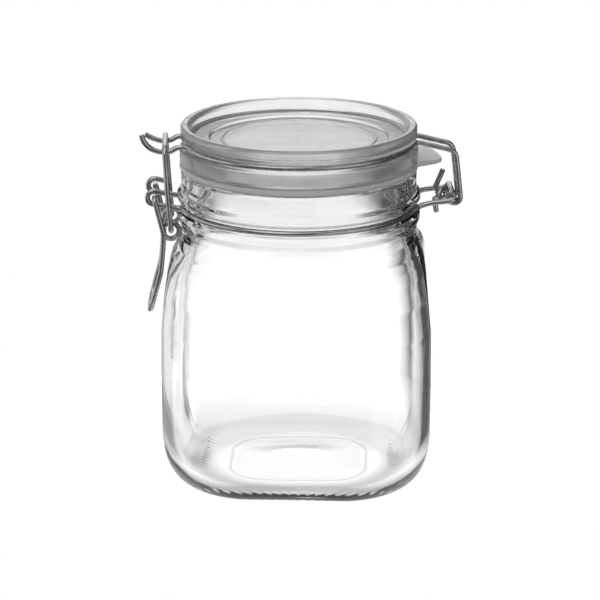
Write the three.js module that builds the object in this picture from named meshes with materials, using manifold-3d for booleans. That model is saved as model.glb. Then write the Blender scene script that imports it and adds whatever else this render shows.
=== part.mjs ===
// A glass storage jar with a wire bail clamp, in millimetres. +Z is up, and the jar stands on z = 0.
// The clasp is on the -X side and the lid's hinge on the +X side.
import * as THREE from 'three';
import { mergeVertices } from 'three/addons/utils/BufferGeometryUtils.js';
import Module from 'manifold-3d';

// ---- Driving dimensions ----

// Glass body: a rounded square below, a round neck above.
const BODY_HALF = 52.8;          // half the width across the flats
const BODY_CORNER = 29;          // radius of the upright corners
const BODY_TURN = -5;            // degrees that the square is turned under the wires
const HEEL = 30;                 // reach of the lower edge's curve
const HEEL_POWER = 2.9;          // 2 would make that curve a quarter circle; more is squarer
const FOOT = [25, 28.5];         // inner and outer half width of the flat ring that the jar stands on
const WALL = 3;                  // thickness of the wall
const BASE = 4.6;                // height of the inside of the base
const BODY_SEGMENTS = 48;

const NECK_R = 46.1;             // outside of the neck under the rim
const NECK_BORE = 39.8;          // inside of the neck
const RIM_TOP = 126.2;

// Rubber ring and glass lid.
const GASKET_R = 46.6;
const GASKET_BORE = 39.6;
const GASKET_TOP = 129.4;
const GASKET_BOTTOM = RIM_TOP + 0.3;
const TAB_TURN = 13;             // degrees that the pull tab lies round from the hinge
const TAB_REACH = 56.8;
const LID_R = 46.6;
const LID_TOP = 144.2;
const LID_SEGMENTS = 48;

// Wire: all of it is the same stock.
const WIRE_R = 1.05;
const GAP = 0.35;                // play between wires, and between wire and glass
const WIRE_SIDES = 8;

// Wire in the lid's groove.
const LID_WIRE_R = 44.9;
const LID_WIRE_Z = 137.4;

// Wire round the neck.
const NECK_WIRE_R = 46.7;
const NECK_WIRE_Z = 112.6;

// Hinge pin, along Y.
const PIN_X = 60.55;
const PIN_Z = 115.2;
const PIN_SPAN = 10.5;           // half the distance between the two neck strands
const LEG_Y = 5.8;               // the lid wire's two legs
const LEG_EYELET_R = 2.45;

// Clasp: the lever turns in two eyelets, and the link turns in the lever's coils.
const PIVOT_X = -56.4;
const PIVOT_Z = 117.2;
const EYELET_Y = 9.4;
const EYELET_R = 2.75;
const LEVER_ARM_Y = 12.4;
const HANDLE_Y = 10;
const COIL_X = -50.1;
const COIL_Z = 104.4;
const COIL_R = 3.1;
const KINK = [-54.4, 87.2];
const HANDLE_TIP = [-59, 70.2];
const LINK_FOOT_Y = 14.9;
const LINK_TOP_Y = 12.8;
const LINK_BEND = [-51.3, 121.2];  // the arms run straight up to here, then draw in a little
const BAR_X = -52.1;

// Tongue of the lid wire: two prongs, the front one a little longer.
const TONGUE_Y = 9.1;
const TONGUE_DIP_Z = 135.1;
const PRONG_END = [-60.1, 137.9];
const FRONT_PRONG_END = [-61, 142.2];

const rad = THREE.MathUtils.degToRad;

// ---- Materials ----

function material(color, roughness, metalness, opacity = 1) {
  return new THREE.MeshStandardMaterial({ color, roughness, metalness, opacity, transparent: opacity < 1 });
}

function piece(name, geometry, look) {
  const mesh = new THREE.Mesh(geometry, look);
  mesh.name = name;
  return mesh;
}

// ---- Turned shapes ----

// A profile of [radius, height] points, turned about +Z.
function turned(profile, segments) {
  const points = profile.map(([r, z]) => new THREE.Vector2(r, z));
  const geometry = new THREE.LatheGeometry(points, segments);
  geometry.rotateX(Math.PI / 2);
  return geometry;
}

// ---- Joining solids ----

const wasm = await Module();
wasm.setup();

function solid(geometry) {
  const bare = geometry.clone();
  bare.deleteAttribute('normal');
  bare.deleteAttribute('uv');
  const merged = mergeVertices(bare, 1e-4);
  return new wasm.Manifold(new wasm.Mesh({
    numProp: 3,
    vertProperties: new Float32Array(merged.attributes.position.array),
    triVerts: new Uint32Array(merged.index.array),
  }));
}

function joined(first, second) {
  const mesh = solid(first).add(solid(second)).getMesh();
  const geometry = new THREE.BufferGeometry();
  geometry.setAttribute('position', new THREE.BufferAttribute(mesh.vertProperties, 3));
  geometry.setIndex(new THREE.BufferAttribute(mesh.triVerts, 1));
  geometry.computeVertexNormals();
  return geometry;
}

// ---- Glass body ----

// How far a rounded square reaches at an angle, as a multiple of its half width.
// corner is its corner radius as a share of the half width, and 1 gives a circle.
function squareReach(angle, corner) {
  const c = Math.abs(Math.cos(angle));
  const s = Math.abs(Math.sin(angle));
  const long = Math.max(c, s);
  const short = Math.min(c, s);
  const flat = 1 - corner;
  if (short / long <= flat) return 1 / long;
  // The ray meets the corner's arc, whose centre is (flat, flat).
  const along = flat * (c + s);
  return along + Math.sqrt(Math.max(0, along * along - 2 * flat * flat + corner * corner));
}

// The corner's share at a point of the profile: tighter along the heel, round from the shoulder up.
function cornerShare(radius, z) {
  const offset = BODY_HALF - radius;
  const share = (BODY_CORNER - offset / 2) / Math.max(radius, 1);
  const rounding = THREE.MathUtils.smoothstep(z, 79, 109);
  return Math.min(1, THREE.MathUtils.lerp(share, 1, rounding));
}

// The lower edge as a quarter of a superellipse, from the base outward and up.
function heel(half, reach, rise, low, steps) {
  return Array.from({ length: steps }, (_, i) => {
    const a = ((i + 1) * Math.PI) / 2 / steps;
    const out = Math.sin(a) ** (2 / HEEL_POWER);
    const up = 1 - Math.cos(a) ** (2 / HEEL_POWER);
    return [half - reach + reach * out, low + rise * up];
  });
}

function jarBody() {
  const groove = NECK_WIRE_R - WIRE_R - GAP;
  const outside = [
    [0, 1.2],
    [13, 0.9],
    [FOOT[0] - 3, 0.2],
    [FOOT[0], 0],
    [FOOT[1], 0],
    ...heel(BODY_HALF, HEEL, HEEL, 0, 8),
    [BODY_HALF, 46],
    [BODY_HALF - 0.3, 67.2],
    [51.3, 80.2],
    [50.4, 88.7],
    [49.6, 93.7],
    [48.8, 96.8],
    [47.5, 99],
    [46.6, 101],
    [46.4, 102.6],
    [46.7, 105.2],
    [47.6, 107.6],
    [47.6, 109.4],
    [46.8, 110.4],
    [groove, 110.9],
    [groove, 114.3],
    [47.7, 115.1],
    [47.7, 117.4],
    [NECK_R, 118.4],
    [NECK_R, 125.4],
    [NECK_R - 0.8, RIM_TOP],
  ];
  const innerHalf = BODY_HALF - WALL;
  const inside = [
    [NECK_BORE + 0.7, RIM_TOP],
    [NECK_BORE, 125.4],
    [NECK_BORE, 115.2],
    [40.8, 107.2],
    [41.6, 101.2],
    [44.2, 95.2],
    [46.8, 87.2],
    [48.4, 79.2],
    [innerHalf - 0.3, 67.2],
    [innerHalf, 46],
    ...heel(innerHalf, HEEL - WALL, HEEL - WALL - 1, BASE, 7).reverse(),
    [innerHalf - HEEL + WALL, BASE],
    [0, BASE + 0.8],
  ];
  const geometry = turned([...outside, ...inside], BODY_SEGMENTS);
  const at = geometry.attributes.position;
  for (let i = 0; i < at.count; i += 1) {
    const x = at.getX(i);
    const y = at.getY(i);
    const r = Math.hypot(x, y);
    if (r > 1e-6) {
      const k = squareReach(Math.atan2(y, x), cornerShare(r, at.getZ(i)));
      at.setXY(i, x * k, y * k);
    }
  }
  geometry.rotateZ(rad(BODY_TURN));
  return geometry;
}

// ---- Lid and rubber ring ----

function lid() {
  const bottom = GASKET_TOP + 0.3;
  const groove = LID_WIRE_R - WIRE_R - GAP;
  const low = LID_WIRE_Z - WIRE_R - GAP;
  const high = LID_WIRE_Z + WIRE_R + GAP;
  return turned([
    [0, 132.2],
    [31.5, 132.2],
    [35.8, 126],
    [37.2, 125.2],
    [38.6, 126],
    [39, bottom],
    [LID_R - 0.5, bottom],
    [LID_R, bottom + 0.5],
    [LID_R, low - 1],
    [LID_R - 0.8, low - 0.2],
    [groove, low],
    [groove, high],
    [LID_R - 1, high + 0.1],
    [LID_R - 0.5, high + 0.6],
    [LID_R - 0.5, LID_TOP - 1.3],
    [LID_R - 0.9, LID_TOP - 0.3],
    [LID_R - 1.7, LID_TOP],
    [LID_R - 3, LID_TOP - 0.4],
    [42.6, LID_TOP - 1.4],
    [41.6, 139.8],
    [40.4, 139.2],
    [35.2, 139.2],
    [34.4, 138.2],
    [0, 138.2],
  ], LID_SEGMENTS);
}

function gasket() {
  const ring = turned([
    [GASKET_BORE, GASKET_BOTTOM + 0.4],
    [GASKET_BORE + 0.4, GASKET_BOTTOM],
    [GASKET_R - 0.7, GASKET_BOTTOM],
    [GASKET_R, GASKET_BOTTOM + 0.8],
    [GASKET_R, GASKET_TOP - 0.8],
    [GASKET_R - 0.7, GASKET_TOP],
    [GASKET_BORE + 0.4, GASKET_TOP],
    [GASKET_BORE, GASKET_TOP - 0.4],
    [GASKET_BORE, GASKET_BOTTOM + 0.4],
  ], LID_SEGMENTS);
  const outline = new THREE.Shape();
  outline.moveTo(42.5, -14);
  outline.lineTo(44.5, -14);
  outline.lineTo(TAB_REACH - 4, -6.5);
  outline.quadraticCurveTo(TAB_REACH, -4.5, TAB_REACH, 0);
  outline.quadraticCurveTo(TAB_REACH, 4.5, TAB_REACH - 4, 6.5);
  outline.lineTo(44.5, 14);
  outline.lineTo(42.5, 14);
  outline.closePath();
  const tab = new THREE.ExtrudeGeometry(outline, { depth: 1.8, bevelEnabled: false, curveSegments: 4 });
  tab.translate(0, 0, GASKET_BOTTOM + 0.5);
  tab.rotateZ(rad(TAB_TURN));
  return joined(ring, tab);
}

// ---- Wires ----

// A point of a wire's centreline. Where the wire turns a corner there, bend is the radius it is bent to.
function at(x, y, z, bend = 0) {
  return { p: new THREE.Vector3(x, y, z), bend };
}

// Points round a circle that lies across one axis. from and to are in degrees.
function ringPoints(from, to, step, place) {
  const steps = Math.max(1, Math.ceil(Math.abs(to - from) / step));
  return Array.from({ length: steps + 1 }, (_, i) => place(rad(from + ((to - from) * i) / steps), i / steps));
}

// Replaces each corner that has a bend radius by points on its arc.
function bent(points) {
  const out = [];
  points.forEach(({ p, bend }, i) => {
    const before = points[i - 1]?.p;
    const after = points[i + 1]?.p;
    if (!bend || !before || !after) {
      out.push(p);
      return;
    }
    const a = before.clone().sub(p).normalize();
    const b = after.clone().sub(p).normalize();
    const turn = Math.PI - a.angleTo(b);
    const reach = bend * Math.tan(turn / 2);
    const middle = a.clone().add(b).normalize();
    const centre = p.clone().addScaledVector(middle, bend / Math.cos(turn / 2));
    const start = p.clone().addScaledVector(a, reach).sub(centre);
    const end = p.clone().addScaledVector(b, reach).sub(centre);
    const axis = start.clone().cross(end).normalize();
    const steps = Math.max(2, Math.ceil(turn / rad(24)));
    for (let k = 0; k <= steps; k += 1) {
      out.push(start.clone().applyAxisAngle(axis, (turn * k) / steps).add(centre));
    }
  });
  return out;
}

// A centreline that is swept through exactly the points given, so straight runs cost one step each.
class Centreline extends THREE.Curve {
  constructor(points) {
    super();
    this.points = points;
  }

  getPoint(t, target = new THREE.Vector3()) {
    const last = this.points.length - 1;
    const i = Math.min(Math.floor(t * last), last - 1);
    return target.lerpVectors(this.points[i], this.points[i + 1], t * last - i);
  }

  getPointAt(u, target) {
    return this.getPoint(u, target);
  }

  getTangentAt(u, target = new THREE.Vector3()) {
    const last = this.points.length - 1;
    const i = Math.round(u * last);
    const into = this.points[i].clone().sub(this.points[Math.max(i - 1, 0)]).normalize();
    const out = this.points[Math.min(i + 1, last)].clone().sub(this.points[i]).normalize();
    return target.copy(into.add(out).normalize());
  }

  getSpacedPoints() {
    return this.points;
  }
}

function wire(points) {
  const path = bent(points);
  const section = new THREE.Shape();
  for (let i = 0; i < WIRE_SIDES; i += 1) {
    const a = (2 * Math.PI * i) / WIRE_SIDES;
    section[i ? 'lineTo' : 'moveTo'](WIRE_R * Math.cos(a), WIRE_R * Math.sin(a));
  }
  section.closePath();
  return new THREE.ExtrudeGeometry(section, {
    steps: path.length - 1,
    extrudePath: new Centreline(path),
    curveSegments: 1,
  });
}

// The same stretch of a wire on the other side of the XZ plane, in the opposite order.
function mirrored(points) {
  return points.map(({ p, bend }) => at(p.x, -p.y, p.z, bend)).reverse();
}

// Half of the lid wire, from a prong's end round to the crossbar over the hinge pin.
function lidWireHalf(side, prong) {
  const angleAt = (y) => THREE.MathUtils.radToDeg(Math.asin(y / LID_WIRE_R));
  const round = ringPoints(side * (180 - angleAt(TONGUE_Y + 4)), side * angleAt(LEG_Y + 3.6), 8, (a) =>
    at(LID_WIRE_R * Math.cos(a), LID_WIRE_R * Math.sin(a), LID_WIRE_Z));
  const eyelet = ringPoints(0, -215, 20, (a) =>
    at(PIN_X + LEG_EYELET_R * Math.cos(a), side * LEG_Y, PIN_Z + LEG_EYELET_R * Math.sin(a)));
  return [
    ...prong.map(([x, z]) => at(x, side * TONGUE_Y, z)),
    at(-57.3, side * TONGUE_Y, 136.5),
    at(-54.7, side * TONGUE_Y, 135.5),
    at(BAR_X, side * TONGUE_Y, TONGUE_DIP_Z),
    at(-49.8, side * TONGUE_Y, 135.5),
    at(-47.6, side * TONGUE_Y, 136.9),
    at(-44.1, side * TONGUE_Y, LID_WIRE_Z, 2.2),
    ...round,
    at(44.5, side * LEG_Y, LID_WIRE_Z, 2.2),
    at(47.4, side * LEG_Y, 137.1),
    at(56.2, side * LEG_Y, 134.9),
    at(PIN_X + 0.3, side * LEG_Y, 133.8, 3.6),
    ...eyelet,
    at(PIN_X - 1, side * LEG_Y, PIN_Z + 2.9, 1.3),
  ];
}

// One wire: a prong, half way round the lid, a leg, an eyelet on the pin, the crossbar, and the same back.
function lidWire() {
  const front = lidWireHalf(-1, [FRONT_PRONG_END, [-60.5, 140.3], [-59.3, 138.3]]);
  const back = lidWireHalf(1, [PRONG_END]);
  return wire([...front, ...back.reverse()]);
}

// Half of the neck wire. side is -1 for the half at the front (-Y) and 1 for the half at the back.
function neckWire(side) {
  const pitch = 5.6;
  const twistR = 2.1;
  const twistFrom = 57.6;
  const turns = 0.75;
  const twistTo = twistFrom - pitch * turns;
  const start = side < 0 ? 180 : 0;
  const twist = ringPoints(start, start + 360 * turns, 24, (a, share) =>
    at(twistFrom + (twistTo - twistFrom) * share, twistR * Math.cos(a), PIN_Z + twistR * Math.sin(a)));
  const cutEnd = side < 0 ? at(56.6, 0, 125) : at(54.2, 0, 107.7);
  const angleAt = (y) => THREE.MathUtils.radToDeg(Math.asin(y / NECK_WIRE_R));
  const round = ringPoints(side * angleAt(PIN_SPAN + 3.5), side * (180 - angleAt(EYELET_Y + 3.5)), 8, (a) =>
    at(NECK_WIRE_R * Math.cos(a), NECK_WIRE_R * Math.sin(a), NECK_WIRE_Z));
  const eyelet = ringPoints(-90, -275, 20, (a) =>
    at(PIVOT_X + EYELET_R * Math.cos(a), side * EYELET_Y, PIVOT_Z + EYELET_R * Math.sin(a)));
  return wire([
    cutEnd,
    ...twist.reverse(),
    at(PIN_X, side * twistR, PIN_Z, 1.4),
    at(PIN_X, side * PIN_SPAN, PIN_Z, 1.8),
    at(50, side * PIN_SPAN, NECK_WIRE_Z + 1.4),
    at(45.5, side * PIN_SPAN, NECK_WIRE_Z, 2.6),
    ...round,
    at(-45.8, side * EYELET_Y, NECK_WIRE_Z, 2.6),
    at(-50, side * EYELET_Y, NECK_WIRE_Z + 0.9),
    ...eyelet,
    at(-52.4, side * EYELET_Y, 118.9),
  ]);
}

// One wire: a stub in each eyelet, an arm down to a coil, and the handle between the coils.
function lever() {
  const coil = ringPoints(-166, 180, 20, (a, share) =>
    at(
      COIL_X + COIL_R * Math.cos(a),
      THREE.MathUtils.lerp(-LEVER_ARM_Y, -HANDLE_Y, share),
      COIL_Z + COIL_R * Math.sin(a),
    ));
  const near = [
    at(PIVOT_X, -EYELET_Y + 1.7, PIVOT_Z),
    at(PIVOT_X, -LEVER_ARM_Y, PIVOT_Z, 1.6),
    ...coil,
    at(COIL_X - COIL_R - 0.1, -HANDLE_Y, 98.2),
    at(KINK[0], -HANDLE_Y, KINK[1], 9),
    at(HANDLE_TIP[0], -HANDLE_Y, HANDLE_TIP[1], 6.5),
  ];
  return wire([...near, ...mirrored(near)]);
}

// One wire: a stub in each coil, and a bar that lies over the tongue.
function link() {
  const footX = COIL_X;
  const footZ = COIL_Z + 0.65;
  const barZ = TONGUE_DIP_Z + 2 * WIRE_R + GAP;
  const near = [
    at(footX, -HANDLE_Y + 0.4, footZ),
    at(footX, -LINK_FOOT_Y, footZ, 1.6),
    at(LINK_BEND[0], -LINK_FOOT_Y, LINK_BEND[1], 12),
    at(BAR_X, -LINK_TOP_Y, barZ, 3.2),
  ];
  return wire([...near, ...mirrored(near)]);
}

// ---- The jar ----

const glass = () => material(0xe9eeee, 0.05, 0, 0.35);
const steel = () => material(0xb9bcc0, 0.28, 1);

const jar = new THREE.Group();
jar.add(
  piece('jar_body', jarBody(), glass()),
  piece('lid', lid(), glass()),
  piece('gasket', gasket(), material(0xdcdcd8, 0.6, 0)),
  piece('lid_wire', lidWire(), steel()),
  piece('neck_wire_front', neckWire(-1), steel()),
  piece('neck_wire_back', neckWire(1), steel()),
  piece('lever', lever(), steel()),
  piece('link', link(), steel()),
);

export default jar;
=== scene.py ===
import math

import bmesh
import bpy
from mathutils import Matrix, Vector, kdtree, noise


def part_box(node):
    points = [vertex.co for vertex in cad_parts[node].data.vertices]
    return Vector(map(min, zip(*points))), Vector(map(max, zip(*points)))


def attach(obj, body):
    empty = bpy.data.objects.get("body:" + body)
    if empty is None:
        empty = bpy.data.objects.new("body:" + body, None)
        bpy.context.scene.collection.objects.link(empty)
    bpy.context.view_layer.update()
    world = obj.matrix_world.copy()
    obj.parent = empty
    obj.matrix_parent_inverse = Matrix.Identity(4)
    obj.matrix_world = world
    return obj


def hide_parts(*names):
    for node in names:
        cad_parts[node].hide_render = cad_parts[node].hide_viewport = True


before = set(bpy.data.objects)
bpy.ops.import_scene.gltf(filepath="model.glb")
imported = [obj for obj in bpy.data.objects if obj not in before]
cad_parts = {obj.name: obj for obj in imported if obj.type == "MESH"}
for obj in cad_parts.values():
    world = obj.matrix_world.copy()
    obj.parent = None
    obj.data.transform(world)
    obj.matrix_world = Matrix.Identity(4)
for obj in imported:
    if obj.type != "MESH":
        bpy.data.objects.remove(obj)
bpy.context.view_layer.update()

MM = 0.001


# ---------------------------------------------------------------- Node helpers

def new_material(name):
    material = bpy.data.materials.new(name)
    material.use_nodes = True
    nodes = material.node_tree.nodes
    nodes.clear()
    output = nodes.new("ShaderNodeOutputMaterial")
    shader = nodes.new("ShaderNodeBsdfPrincipled")
    material.node_tree.links.new(shader.outputs["BSDF"], output.inputs["Surface"])
    return material, material.node_tree, shader


def node(tree, kind, values=(), **settings):
    made = tree.nodes.new(kind)
    for key, value in settings.items():
        setattr(made, key, value)
    for key, value in dict(values).items():
        made.inputs[key].default_value = value
    return made


def place(tree, scale=(1, 1, 1), source="Object"):
    """Texture coordinates of the surface itself, stretched by scale."""
    coordinates = node(tree, "ShaderNodeTexCoord")
    mapping = node(tree, "ShaderNodeMapping", {"Scale": scale})
    tree.links.new(coordinates.outputs[source], mapping.inputs["Vector"])
    return mapping.outputs["Vector"]


def noise_texture(tree, vector, scale, detail=3.0, roughness=0.55):
    made = node(tree, "ShaderNodeTexNoise", {"Scale": scale, "Detail": detail, "Roughness": roughness})
    tree.links.new(vector, made.inputs["Vector"])
    return made.outputs["Fac"]


def remap(tree, value, low, high, to_low, to_high):
    made = node(tree, "ShaderNodeMapRange", {
        "From Min": low, "From Max": high, "To Min": to_low, "To Max": to_high,
    })
    tree.links.new(value, made.inputs["Value"])
    return made.outputs["Result"]


def combine(tree, operation, first, *others):
    """Folds several values into one."""
    for other in others:
        made = node(tree, "ShaderNodeMath", operation=operation)
        tree.links.new(first, made.inputs[0])
        tree.links.new(other, made.inputs[1])
        first = made.outputs[0]
    return first


def brightest(tree, *values):
    return combine(tree, "MAXIMUM", *values)


def product(tree, *values):
    return combine(tree, "MULTIPLY", *values)


def ramp(tree, value, *stops):
    """A colour ramp. Each stop is (position, (r, g, b))."""
    made = node(tree, "ShaderNodeValToRGB")
    elements = made.color_ramp.elements
    while len(elements) < len(stops):
        elements.new(0.5)
    for element, (position, colour) in zip(elements, stops):
        element.position = position
        element.color = (*colour, 1)
    tree.links.new(value, made.inputs["Fac"])
    return made.outputs["Color"]


def bump(tree, shader, height, distance, strength):
    made = node(tree, "ShaderNodeBump", {"Strength": strength, "Distance": distance})
    tree.links.new(height, made.inputs["Height"])
    tree.links.new(made.outputs["Normal"], shader.inputs["Normal"])


# ---------------------------------------------------------------- Materials

HEEL_TINT = (3 * MM, 17 * MM)     # the thick glass of the heel is fully tinted below the first height


def glass_material(name, thin, thick, thick_from, gloss, waviness, clearness):
    """Pressed soda glass, greyer where it is thick, with handling marks in its gloss and a slow waviness."""
    material, tree, shader = new_material(name)
    shader.inputs["Transmission Weight"].default_value = clearness
    shader.inputs["IOR"].default_value = 1.5
    marks = noise_texture(tree, place(tree), 160.0, 5.0, 0.7)
    height = node(tree, "ShaderNodeSeparateXYZ")
    tree.links.new(place(tree), height.inputs["Vector"])
    rise = brightest(
        tree,
        remap(tree, height.outputs["Z"], thick_from - 6 * MM, thick_from + 6 * MM, 0.0, 1.0),
        remap(tree, height.outputs["Z"], *HEEL_TINT, 1.0, 0.0),
    )
    grey = node(tree, "ShaderNodeMix", {6: (*thin, 1), 7: (*thick, 1)}, data_type="RGBA")
    tree.links.new(rise, grey.inputs[0])
    tree.links.new(grey.outputs[2], shader.inputs["Base Color"])
    tree.links.new(remap(tree, marks, 0.35, 0.8, *gloss), shader.inputs["Roughness"])
    slow = noise_texture(tree, place(tree, (1, 1, 0.5)), 45.0, 2.0, 0.4)
    bump(tree, shader, slow, 0.4 * MM, waviness)
    return material


def rubber_material():
    """Pale translucent rubber with a soft bloom of dust."""
    material, tree, shader = new_material("pale_rubber")
    shader.inputs["Transmission Weight"].default_value = 0.4
    shader.inputs["Subsurface Weight"].default_value = 0.4
    shader.inputs["Subsurface Radius"].default_value = (0.004, 0.004, 0.004)
    shader.inputs["IOR"].default_value = 1.45
    cloud = noise_texture(tree, place(tree), 120.0, 4.0)
    colour = ramp(tree, cloud, (0.3, (0.84, 0.845, 0.85)), (0.7, (0.92, 0.925, 0.925)))
    tree.links.new(colour, shader.inputs["Base Color"])
    tree.links.new(remap(tree, cloud, 0.3, 0.7, 0.36, 0.52), shader.inputs["Roughness"])
    grain = noise_texture(tree, place(tree), 1800.0, 2.0)
    bump(tree, shader, grain, 0.05 * MM, 0.35)
    return material


def steel_material():
    """Drawn steel wire, bright plated, with fine streaks along it and dull patches from handling."""
    material, tree, shader = new_material("plated_wire")
    shader.inputs["Metallic"].default_value = 1.0
    streaks = noise_texture(tree, place(tree, (1.5, 60, 1), "UV"), 9.0, 3.0, 0.6)
    patches = noise_texture(tree, place(tree), 260.0, 4.0, 0.6)
    colour = ramp(
        tree, patches, (0.25, (0.34, 0.34, 0.35)), (0.6, (0.5, 0.5, 0.51)), (0.85, (0.58, 0.57, 0.56)))
    tree.links.new(colour, shader.inputs["Base Color"])
    tree.links.new(remap(tree, patches, 0.3, 0.75, 0.16, 0.34), shader.inputs["Roughness"])
    bump(tree, shader, streaks, 0.03 * MM, 0.4)
    return material


JAR_GLASS = glass_material(
    "jar_glass", thin=(0.968, 0.974, 0.974), thick=(0.76, 0.765, 0.775), thick_from=0.104,
    gloss=(0.0, 0.03), waviness=0.35, clearness=1.0)
LID_GLASS = glass_material(
    "lid_glass", thin=(0.84, 0.845, 0.855), thick=(0.83, 0.835, 0.85), thick_from=0.138,
    gloss=(0.14, 0.28), waviness=0.5, clearness=0.9)
RUBBER = rubber_material()
STEEL = steel_material()


# ---------------------------------------------------------------- Mesh helpers

def mesh_object(name, bm, material, smooth_angle=40):
    bmesh.ops.recalc_face_normals(bm, faces=bm.faces)
    mesh = bpy.data.meshes.new(name)
    bm.to_mesh(mesh)
    bm.free()
    for face in mesh.polygons:
        face.use_smooth = True
    mesh.set_sharp_from_angle(angle=math.radians(smooth_angle))
    mesh.materials.append(material)
    made = bpy.data.objects.new(name, mesh)
    bpy.context.scene.collection.objects.link(made)
    return made


def stand_for(piece, body, slot, *nodes):
    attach(piece, body)
    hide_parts(*nodes)
    return piece


# ---------------------------------------------------------------- Turned glass

def rounded_profile(points, steps=5):
    """(radius, height, corner radius) points as a dense outline, each corner rounded by an arc."""
    out = []
    for i, (r, z, fillet) in enumerate(points):
        here = Vector((r, z))
        if not fillet or i in (0, len(points) - 1):
            out.append(here)
            continue
        before = Vector(points[i - 1][:2]) - here
        after = Vector(points[i + 1][:2]) - here
        turn = math.pi - before.angle(after)
        if turn < 0.01:
            out.append(here)
            continue
        reach = min(fillet * math.tan(turn / 2), 0.48 * before.length, 0.48 * after.length)
        start = here + before.normalized() * reach
        end = here + after.normalized() * reach
        for k in range(steps + 1):
            t = k / steps
            out.append(start * (1 - t) ** 2 + here * (2 * t * (1 - t)) + end * t ** 2)
    return out


def long_runs_split(points, longest):
    """The same outline with no stretch longer than longest."""
    out = [points[0]]
    for here, after in zip(points, points[1:]):
        parts = max(1, math.ceil((after - here).length / longest))
        out.extend(here.lerp(after, k / parts) for k in range(1, parts + 1))
    return out


def revolve(name, outline, columns, material, shape=None):
    """Turns an outline about Z. shape(point, radius, angle, row) gives a point's place in metres."""
    bm = bmesh.new()
    rows = []
    for i, (r, z) in enumerate(outline):
        count = 1 if r < 1e-7 else columns
        row = []
        for k in range(count):
            angle = 2 * math.pi * k / columns
            point = Vector((r * math.cos(angle), r * math.sin(angle), z))
            row.append(bm.verts.new(shape(point, r, angle, i) if shape else point * MM))
        rows.append(row)
    for low, high in zip(rows, rows[1:]):
        for k in range(columns):
            n = (k + 1) % columns
            if len(low) == 1:
                bm.faces.new((low[0], high[k], high[n]))
            elif len(high) == 1:
                bm.faces.new((low[k], high[0], low[n]))
            else:
                bm.faces.new((low[k], high[k], high[n], low[n]))
    return mesh_object(name, bm, material)


# ---------------------------------------------------------------- Glass body

BODY_HALF = 52.8                  # half the width across the flats, mm
BODY_CORNER = 29.0                # radius of the upright corners, mm
INNER_CORNER = -1.0               # how much rounder the corners are inside than outside
BODY_TURN = math.radians(-5)      # turn of the square under the wires
HEEL = 30.0                       # reach of the lower edge's curve
HEEL_POWER = 2.9                  # 2 would make that curve a quarter circle; more is squarer
WALL = 3.0
BASE = 4.6                        # height of the inside of the base
NECK_R = 46.1
NECK_BORE = 39.8
RIM_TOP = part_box("jar_body")[1].z / MM
TICKS = 72                        # the row of grip ticks pressed into the underside of the heel
TICK_RADIUS = 40.5
TICK_DEPTH = 0.3
TICK_HALF_LENGTH = 1.7
TICK_TOP = 6                      # nothing above this height is pressed in
SHOULDER = (79, 109)              # the heights between which the square turns round
WANDER = 0.3                      # how far the pressed inner wall strays
WANDER_TOP = 111                  # the bore above this height is true
BODY_COLUMNS = 6 * TICKS


def square_reach(angle, corner):
    """How far a rounded square reaches at an angle, as a multiple of its half width."""
    c, s = abs(math.cos(angle)), abs(math.sin(angle))
    flat = 1 - corner
    if min(c, s) / max(c, s) <= flat:
        return 1 / max(c, s)
    along = flat * (c + s)
    return along + math.sqrt(max(0.0, along * along - 2 * flat * flat + corner * corner))


def smoothstep(value, low, high):
    t = min(1.0, max(0.0, (value - low) / (high - low)))
    return t * t * (3 - 2 * t)


def corner_share(radius, z, extra):
    share = (BODY_CORNER + extra - (BODY_HALF - radius) / 2) / max(radius, 1.0)
    rounding = smoothstep(z, *SHOULDER)
    return min(1.0, share + (1 - share) * rounding)


def heel(half, reach, rise, low, steps=26):
    """The lower edge as a quarter of a superellipse, from the base outward and up."""
    out = []
    for i in range(1, steps + 1):
        angle = i * math.pi / 2 / steps
        along = math.sin(angle) ** (2 / HEEL_POWER)
        up = 1 - max(0.0, math.cos(angle)) ** (2 / HEEL_POWER)
        out.append((half - reach + reach * along, low + rise * up, 0))
    return out


def body_outline():
    """The outside, from the middle of the underside to the rim, and the inside, from the rim down."""
    groove = 45.3
    inner = BODY_HALF - WALL
    outside = [
        (0, 1.2, 0), (13, 0.9, 8), (22, 0.2, 5), (25, 0, 1), (28.5, 0, 0), *heel(BODY_HALF, HEEL, HEEL, 0),
        (BODY_HALF, 46, 20), (BODY_HALF - 0.3, 67.2, 30), (51.3, 80.2, 20), (50.4, 88.7, 12), (49.6, 93.7, 6),
        (48.8, 96.8, 3), (47.5, 99, 2), (46.6, 101, 1.5), (46.4, 102.6, 1.5), (46.7, 105.2, 3), (47.6, 107.6, 3),
        (47.6, 109.4, 1), (46.8, 110.4, 0.7), (groove, 110.9, 0.6), (groove, 114.3, 0.8),
        (47.7, 115.1, 0.9), (47.7, 117.4, 0.9), (NECK_R, 118.4, 0.9), (NECK_R, 125.4, 0.8),
        (NECK_R - 0.8, RIM_TOP, 0.8),
    ]
    inside = [
        (NECK_BORE + 0.7, RIM_TOP, 0.6), (NECK_BORE, 125.4, 0.8), (NECK_BORE, 115.2, 6),
        (40.8, 107.2, 12), (41.6, 101.2, 10), (44.2, 95.2, 14), (46.8, 87.2, 14), (48.4, 79.2, 16),
        (inner - 0.3, 67.2, 30), (inner, 46, 20),
        *reversed(heel(inner, HEEL - WALL, HEEL - WALL - 1, BASE)),
        (inner - HEEL + WALL, BASE, 0), (0, BASE + 0.8, 0),
    ]
    return outside, inside


def tick_height(radius, z, angle):
    """How far the underside is pressed in at the row of ticks."""
    across = 1 - abs(radius - TICK_RADIUS) / TICK_HALF_LENGTH
    if z > TICK_TOP or across <= 0:
        return 0.0
    ridge = 0.5 + 0.5 * math.cos(TICKS * angle)
    return TICK_DEPTH * min(1.0, 2 * across) * ridge ** 2


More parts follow.
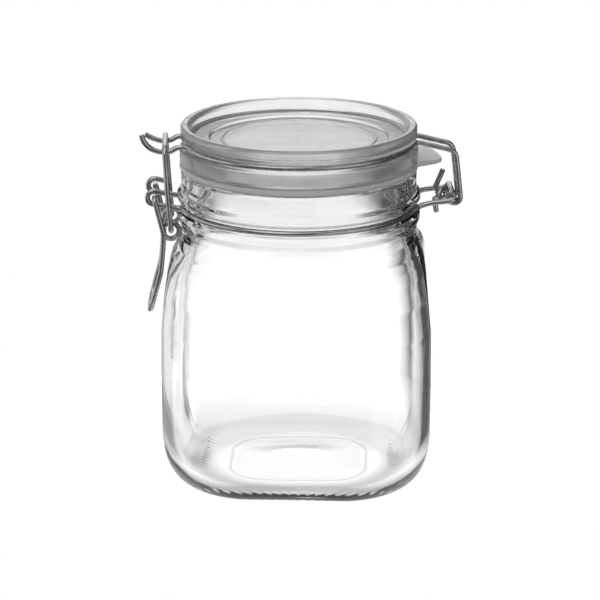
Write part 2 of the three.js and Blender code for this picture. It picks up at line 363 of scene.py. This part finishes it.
def jar_body():
    outside, inside = body_outline()
    outline = long_runs_split(rounded_profile(outside + inside), 3.0)
    outer_rows = len(long_runs_split(rounded_profile(outside + inside[:1]), 3.0))

    def shape(point, radius, angle, row):
        if radius < 1e-6:
            return Vector((0, 0, point.z * MM))
        inner = row >= outer_rows
        corner = corner_share(radius, point.z, INNER_CORNER if inner else 0)
        reach = radius * square_reach(angle, corner)
        turned = angle + BODY_TURN
        if inner and point.z < WANDER_TOP:
            spot = Vector((math.cos(angle) * 2.2, math.sin(angle) * 2.2, point.z * 0.02))
            reach += WANDER * noise.noise(spot) * smoothstep(radius, 12, 40)
        lift = 0.0 if inner else tick_height(radius, point.z, angle)
        return Vector((reach * math.cos(turned), reach * math.sin(turned), point.z + lift)) * MM

    return revolve("jar_body_glass", outline, BODY_COLUMNS, JAR_GLASS, shape)


# ---------------------------------------------------------------- Lid and rubber ring

LID_R = 46.6
LID_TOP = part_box("lid")[1].z / MM
GASKET_R = 46.6
GASKET_BORE = 39.6
GASKET_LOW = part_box("gasket")[0].z / MM
GASKET_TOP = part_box("gasket")[1].z / MM
TAB_TURN = math.radians(13)
TAB_REACH = 56.8
TAB_HALF = 17.0                   # half the tab's width at its root, degrees
TAB_FLARE = 9.5                   # the width of each of its curved flanks, degrees
LID_COLUMNS = 160


def lid():
    bottom = GASKET_TOP + 0.3
    low, high, groove = 136, 138.8, 43.5
    outline = [
        (0, 132.2, 0), (31.5, 132.2, 2), (35.8, 126, 2), (37.2, 125.2, 0.8), (38.6, 126, 0.8),
        (39, bottom, 0.3),
        (LID_R - 0.1, bottom, 0.5), (LID_R, low - 0.6, 1.0), (groove, low, 0.5), (groove, high, 0.5),
        (LID_R - 0.5, high + 0.2, 0.5), (LID_R - 0.5, LID_TOP - 0.7, 0.9), (LID_R - 1.2, LID_TOP, 0.8),
        (LID_R - 3.2, LID_TOP - 0.3, 1.6), (42.2, LID_TOP - 1.8, 1.2), (41.5, 139.9, 0.8), (40.4, 139.2, 0.8),
        (35.2, 139.2, 0.5), (34.4, 138.2, 0.5), (30.6, 138.2, 0.4), (30.2, 138.55, 0.4), (29.6, 138.55, 0.4),
        (29.2, 138.2, 0.4), (0, 138.2, 0),
    ]
    return revolve("lid_glass", long_runs_split(rounded_profile(outline), 4.0), LID_COLUMNS, LID_GLASS)


def gasket():
    """The ring, and the pull tab that grows out of its outer edge."""
    thick = GASKET_TOP - GASKET_LOW
    mid = (GASKET_TOP + GASKET_LOW) / 2
    section = [
        (GASKET_BORE, mid - thick * 0.3), (GASKET_BORE + 0.5, GASKET_LOW), (GASKET_R - 1.0, GASKET_LOW),
        (GASKET_R, GASKET_LOW + 0.9), (GASKET_R, GASKET_TOP - 0.9), (GASKET_R - 1.0, GASKET_TOP),
        (GASKET_BORE + 0.5, GASKET_TOP), (GASKET_BORE, mid + thick * 0.3),
    ]
    columns = 240
    bm = bmesh.new()
    rows = []
    for k in range(columns):
        angle = 2 * math.pi * k / columns + TAB_TURN
        away = math.degrees(abs((2 * math.pi * k / columns + math.pi) % (2 * math.pi) - math.pi))
        row = []
        for i, (r, z) in enumerate(section):
            reach = r
            if i in (3, 4) and away < TAB_HALF + 1:
                plan = min(1.0, max(0.0, (TAB_HALF - away) / TAB_FLARE))
                reach = GASKET_R + (TAB_REACH - GASKET_R) * math.sin(plan * math.pi / 2) ** 0.8
                flat = smoothstep(reach, GASKET_R, GASKET_R + 2.5)
                z = z + flat * ((GASKET_LOW + (0.6 if i == 3 else 2.2)) - z)
            row.append(bm.verts.new(Vector((reach * math.cos(angle), reach * math.sin(angle), z)) * MM))
        rows.append(row)
    for k in range(columns):
        here, after = rows[k], rows[(k + 1) % columns]
        for i in range(len(section)):
            n = (i + 1) % len(section)
            bm.faces.new((here[i], after[i], after[n], here[n]))
    made = mesh_object("gasket_rubber", bm, RUBBER, 50)
    bevel = made.modifiers.new("soft_edges", "BEVEL")
    bevel.width = 0.3 * MM
    bevel.segments = 2
    bevel.limit_method = "ANGLE"
    bevel.angle_limit = math.radians(35)
    return made


# ---------------------------------------------------------------- Wires

WIRE_R = 1.05 * MM
WIRE_SIDES = 20
CAD_SIDES = 8


def wire_rings(cad_object):
    """The centres of a CAD wire's rings of vertices, from one cut end to the other."""
    bm = bmesh.new()
    bm.from_mesh(cad_object.data)
    bmesh.ops.remove_doubles(bm, verts=bm.verts, dist=1e-6)
    caps = bm.copy()
    bmesh.ops.dissolve_limit(caps, angle_limit=math.radians(0.5), verts=caps.verts, edges=caps.edges)
    ends = []
    for face in caps.faces:
        middle = face.calc_center_median()
        if len(face.verts) == CAD_SIDES and all((v.co - middle).length < 1.1 * WIRE_R for v in face.verts):
            ends.append([v.co.copy() for v in face.verts])
    caps.free()
    tree = kdtree.KDTree(len(bm.verts))
    bm.verts.ensure_lookup_table()
    for v in bm.verts:
        tree.insert(v.co, v.index)
    tree.balance()
    ring = {bm.verts[tree.find(co)[1]] for co in ends[0]}
    seen = set(ring)
    centres = []
    while ring:
        centres.append(sum((v.co for v in ring), Vector()) / len(ring))
        ring = {e.other_vert(v) for v in ring for e in v.link_edges} - seen
        seen |= ring
    bm.free()
    return centres


def softened(points, rounds=2):
    """Cuts each corner back by a quarter of its shorter side, so bends run smoothly and straights stay."""
    for _ in range(rounds):
        out = [points[0]]
        for before, here, after in zip(points, points[1:], points[2:]):
            reach = 0.25 * min((before - here).length, (after - here).length)
            out.append(here + (before - here).normalized() * reach)
            out.append(here + (after - here).normalized() * reach)
        points = out + [points[-1]]
    return points


def swept_wire(name, points):
    """Round wire along the points, with cut ends whose edges are just broken."""
    points = long_runs_split(softened(points), 4 * MM)
    bm = bmesh.new()
    uv = bm.loops.layers.uv.new("UVMap")
    tangent = (points[1] - points[0]).normalized()
    normal = tangent.orthogonal().normalized()
    edge = 0.16 * MM
    stations = [(points[0], tangent, 0.82), (points[0] + tangent * edge, tangent, 1.0)]
    for i in range(1, len(points) - 1):
        stations.append((points[i], (points[i + 1] - points[i - 1]).normalized(), 1.0))
    end = (points[-1] - points[-2]).normalized()
    stations += [(points[-1] - end * edge, end, 1.0), (points[-1], end, 0.82)]
    rows = []
    run = 0.0
    runs = []
    for i, (point, along, scale) in enumerate(stations):
        normal = (normal - along * normal.dot(along)).normalized()
        side = along.cross(normal)
        if i:
            run += (point - stations[i - 1][0]).length
        runs.append(run)
        rows.append([
            bm.verts.new(point + WIRE_R * scale * (math.cos(a) * normal + math.sin(a) * side))
            for a in (2 * math.pi * k / WIRE_SIDES for k in range(WIRE_SIDES))
        ])
    for i in range(len(rows) - 1):
        for k in range(WIRE_SIDES):
            n = (k + 1) % WIRE_SIDES
            face = bm.faces.new((rows[i][k], rows[i][n], rows[i + 1][n], rows[i + 1][k]))
            corners = ((i, k), (i, k + 1), (i + 1, k + 1), (i + 1, k))
            for loop, (row, column) in zip(face.loops, corners):
                loop[uv].uv = (runs[row] / (10 * MM), column / WIRE_SIDES)
    bm.faces.new(rows[0])
    bm.faces.new(rows[-1])
    return mesh_object(name, bm, STEEL, 35)


# ---------------------------------------------------------------- The pieces

stand_for(jar_body(), "jar", "jar_glass", "jar_body")
stand_for(lid(), "lid_assembly", "lid_glass", "lid")
stand_for(gasket(), "lid_assembly", "rubber", "gasket")
for wire, body in (
    ("lid_wire", "lid_assembly"),
    ("neck_wire_front", "jar"),
    ("neck_wire_back", "jar"),
    ("lever", "lever"),
    ("link", "link"),
):
    stand_for(swept_wire(wire + "_steel", wire_rings(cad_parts[wire])), body, "wire", wire)


# ---------------------------------------------------------------- Studio

BACKDROP = 1.25                   # brightness of the backdrop as the glass sees it
KEY_DIRECTION = (-0.35, -0.6, 0.72)   # the small bright light that draws highlights along the wires
DARK_STUDIO = 0.075               # brightness of the studio between its white cards
SIDE_BACKDROP = 0.85              # brightness of the white cards to the sides
SIDE_BACKDROPS = (                # where they stand, seen from the jar
    (-0.707, 0.707, 0), (-1, 0, 0), (0.707, -0.707, 0),
)
FLOOR_RADIUS = 0.13               # the pale table, beyond which the studio is just as pale to the camera


def studio():
    floor = bmesh.new()
    bmesh.ops.create_circle(floor, cap_ends=True, segments=96, radius=FLOOR_RADIUS)
    ground = mesh_object("floor", floor, floor_material())
    ground.location.z = -0.0002


def floor_material():
    """Pale to the camera. To rays through the glass it glows with painted light: a painted shadow under the heel
    and painted shade beside the jar.
    """
    material, tree, shader = new_material("pale_floor")
    shader.inputs["Base Color"].default_value = (0.9, 0.9, 0.9, 1)
    shader.inputs["Roughness"].default_value = 0.9
    shader.inputs["Specular IOR Level"].default_value = 0.1
    shader.inputs["Emission Color"].default_value = (1, 1, 1, 1)
    shader.inputs["Emission Strength"].default_value = 0.85
    coordinates = node(tree, "ShaderNodeTexCoord")
    split = node(tree, "ShaderNodeSeparateXYZ")
    tree.links.new(coordinates.outputs["Object"], split.inputs["Vector"])
    sideways = node(tree, "ShaderNodeMath", operation="ABSOLUTE")
    tree.links.new(split.outputs["X"], sideways.inputs[0])
    # Painted light and shade on the floor, seen only through the glass: it glows as bright as the backdrop in a
    # band along the middle, goes dark beside it, and glows more dimly far to the left and in front of the jar.
    painted_glow_beside = brightest(
        tree,
        remap(tree, sideways.outputs[0], 0.058, 0.085, BACKDROP, 0.1),
        remap(tree, split.outputs["X"], -0.085, -0.058, 0.4 * SIDE_BACKDROP, 0.0),
        remap(tree, split.outputs["Y"], -0.035, -0.02, SIDE_BACKDROP, 0.0),
    )
    away = node(tree, "ShaderNodeVectorMath", operation="LENGTH")
    tree.links.new(coordinates.outputs["Object"], away.inputs[0])
    # Painted shadow on the floor: its glow is dimmed to half in a ring under the heel, brightens again past the
    # heel, and stays bright behind the jar.
    painted_heel_shadow = remap(tree, away.outputs["Value"], 0.034, 0.042, 1.0, 0.5)
    painted_heel_shadow_edge = remap(tree, away.outputs["Value"], 0.048, 0.06, 0.5, 1.0)
    behind = remap(tree, split.outputs["Y"], -0.02, 0.015, 0.0, 0.86)
    shade = brightest(tree, painted_heel_shadow, painted_heel_shadow_edge, behind)
    light = node(tree, "ShaderNodeEmission")
    tree.links.new(product(tree, painted_glow_beside, shade), light.inputs["Strength"])
    rays = node(tree, "ShaderNodeLightPath")
    mix = node(tree, "ShaderNodeMixShader")
    tree.links.new(rays.outputs["Is Camera Ray"], mix.inputs["Fac"])
    tree.links.new(light.outputs["Emission"], mix.inputs[1])
    tree.links.new(shader.outputs["BSDF"], mix.inputs[2])
    output = next(n for n in tree.nodes if n.bl_idname == "ShaderNodeOutputMaterial")
    tree.links.new(mix.outputs["Shader"], output.inputs["Surface"])
    return material


def soft_world():
    """A studio of white cards: bright behind and above, dark between them, which draws the glass's edges."""
    world = bpy.data.worlds.new("studio")
    world.use_nodes = True
    tree = world.node_tree
    tree.nodes.clear()
    output = node(tree, "ShaderNodeOutputWorld")
    coordinates = node(tree, "ShaderNodeTexCoord")
    split = node(tree, "ShaderNodeSeparateXYZ")
    tree.links.new(coordinates.outputs["Generated"], split.inputs["Vector"])
    sideways = node(tree, "ShaderNodeMath", operation="ABSOLUTE")
    tree.links.new(split.outputs["X"], sideways.inputs[0])
    backdrop = product(
        tree,
        remap(tree, split.outputs["Y"], 0.55, 0.75, 0.0, BACKDROP),
        remap(tree, sideways.outputs[0], 0.14, 0.3, 1.0, 0.0),
    )
    above = remap(tree, split.outputs["Z"], 0.72, 0.86, 0.0, 0.9)
    toward_key = node(tree, "ShaderNodeVectorMath", {1: KEY_DIRECTION}, operation="DOT_PRODUCT")
    tree.links.new(coordinates.outputs["Generated"], toward_key.inputs[0])
    key = remap(tree, toward_key.outputs["Value"], 0.86, 0.95, 0.0, 1.6)
    front = remap(tree, split.outputs["Y"], -0.5, -0.15, 0.14, 0.0)
    cards = []
    for direction in SIDE_BACKDROPS:
        toward_card = node(tree, "ShaderNodeVectorMath", {1: direction}, operation="DOT_PRODUCT")
        tree.links.new(coordinates.outputs["Generated"], toward_card.inputs[0])
        cards.append(remap(tree, toward_card.outputs["Value"], 0.8, 0.9, 0.0, SIDE_BACKDROP))
    dark = node(tree, "ShaderNodeValue")
    dark.outputs[0].default_value = DARK_STUDIO
    level = brightest(tree, backdrop, above, key, front, dark.outputs[0], *cards)
    surround = node(tree, "ShaderNodeBackground", {"Color": (1, 1, 1, 1)})
    tree.links.new(level, surround.inputs["Strength"])
    white = node(tree, "ShaderNodeBackground", {"Color": (1, 1, 1, 1), "Strength": 1.0})
    rays = node(tree, "ShaderNodeLightPath")
    mix = node(tree, "ShaderNodeMixShader")
    tree.links.new(rays.outputs["Is Camera Ray"], mix.inputs["Fac"])
    tree.links.new(surround.outputs["Background"], mix.inputs[1])
    tree.links.new(white.outputs["Background"], mix.inputs[2])
    tree.links.new(mix.outputs["Shader"], output.inputs["Surface"])
    bpy.context.scene.world = world


CAMERA_DISTANCE = 0.9585
CAMERA_ELEVATION = math.radians(17.68)
CAMERA_ASIDE = math.radians(-2.3)     # how far round to the left of the front the camera stands
CAMERA_TARGET = Vector((0.45, 0, 71.85)) * MM
CAMERA_LENS = 144.5
SENSOR_WIDTH = 36.0


def camera():
    """A long lens, about 18 degrees above level and a little to the left."""
    data = bpy.data.cameras.new("camera")
    data.sensor_width = SENSOR_WIDTH
    data.lens = CAMERA_LENS
    made = bpy.data.objects.new("camera", data)
    tilt = Matrix.Rotation(math.pi / 2 - CAMERA_ELEVATION, 3, "X")
    turn = Matrix.Rotation(CAMERA_ASIDE, 3, "Z") @ tilt
    made.location = CAMERA_TARGET + turn @ Vector((0, 0, CAMERA_DISTANCE))
    made.rotation_euler = turn.to_euler()
    bpy.context.scene.collection.objects.link(made)
    bpy.context.scene.camera = made


studio()
soft_world()
camera()
bpy.context.scene.view_settings.view_transform = "Standard"
